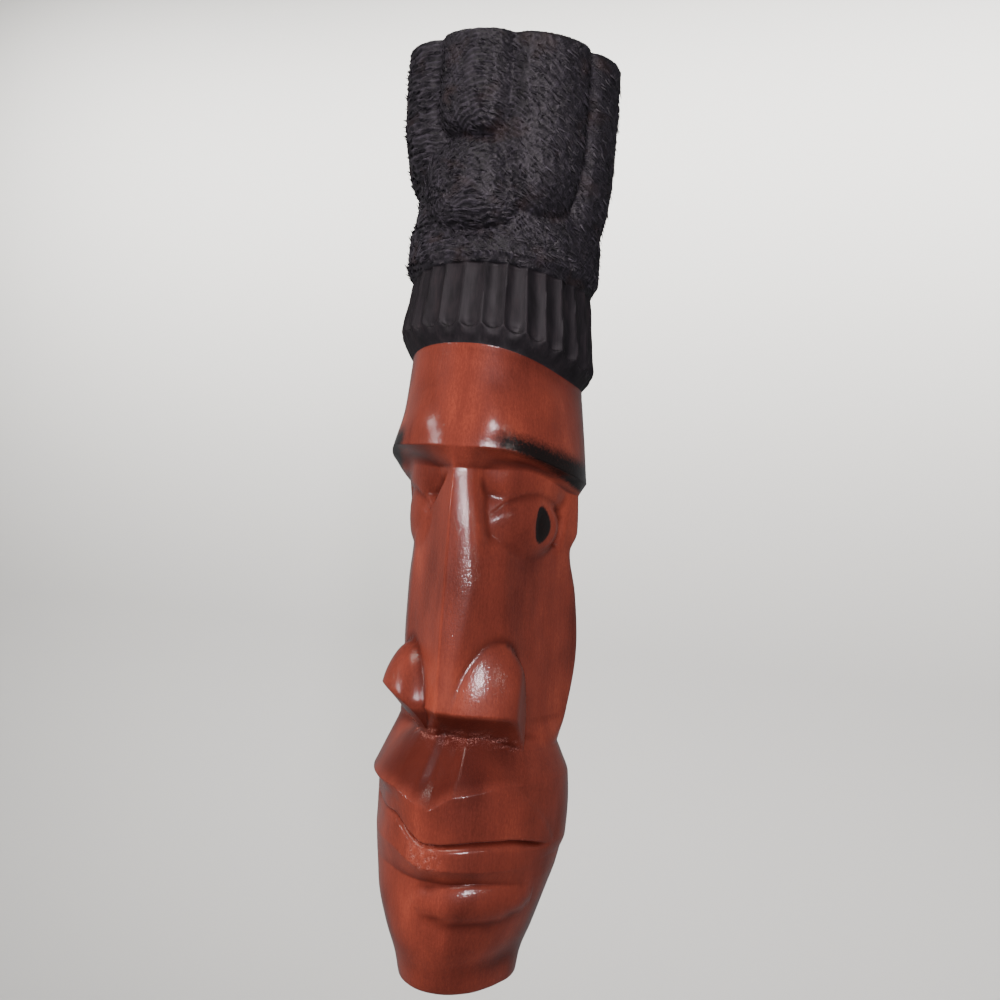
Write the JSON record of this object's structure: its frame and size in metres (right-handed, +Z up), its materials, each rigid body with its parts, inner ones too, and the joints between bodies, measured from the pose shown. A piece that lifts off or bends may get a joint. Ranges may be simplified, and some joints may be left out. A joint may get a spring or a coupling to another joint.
{
  "type": "wooden face wall sculpture",
  "caption": "Tall, narrow stylised wooden face with upright lobed hair and a fluted headband, flat at the back to hang on a wall.",
  "frame": {"origin": "middle of the flat back, where it lies against the wall", "axes": "+Z up the face from the chin to the hair, -Y the way the face looks, +Y into the wall, +X to the right of someone who looks at it"},
  "size_m": [0.098, 0.0689, 0.4066],
  "materials": {
    "wood": "glossy red-brown varnish on the face, scorched black on the hair, headband, brows and pupils"
  },
  "bodies": {
    "root": {"carved_face": "wood"}
  },
  "joints": []
}
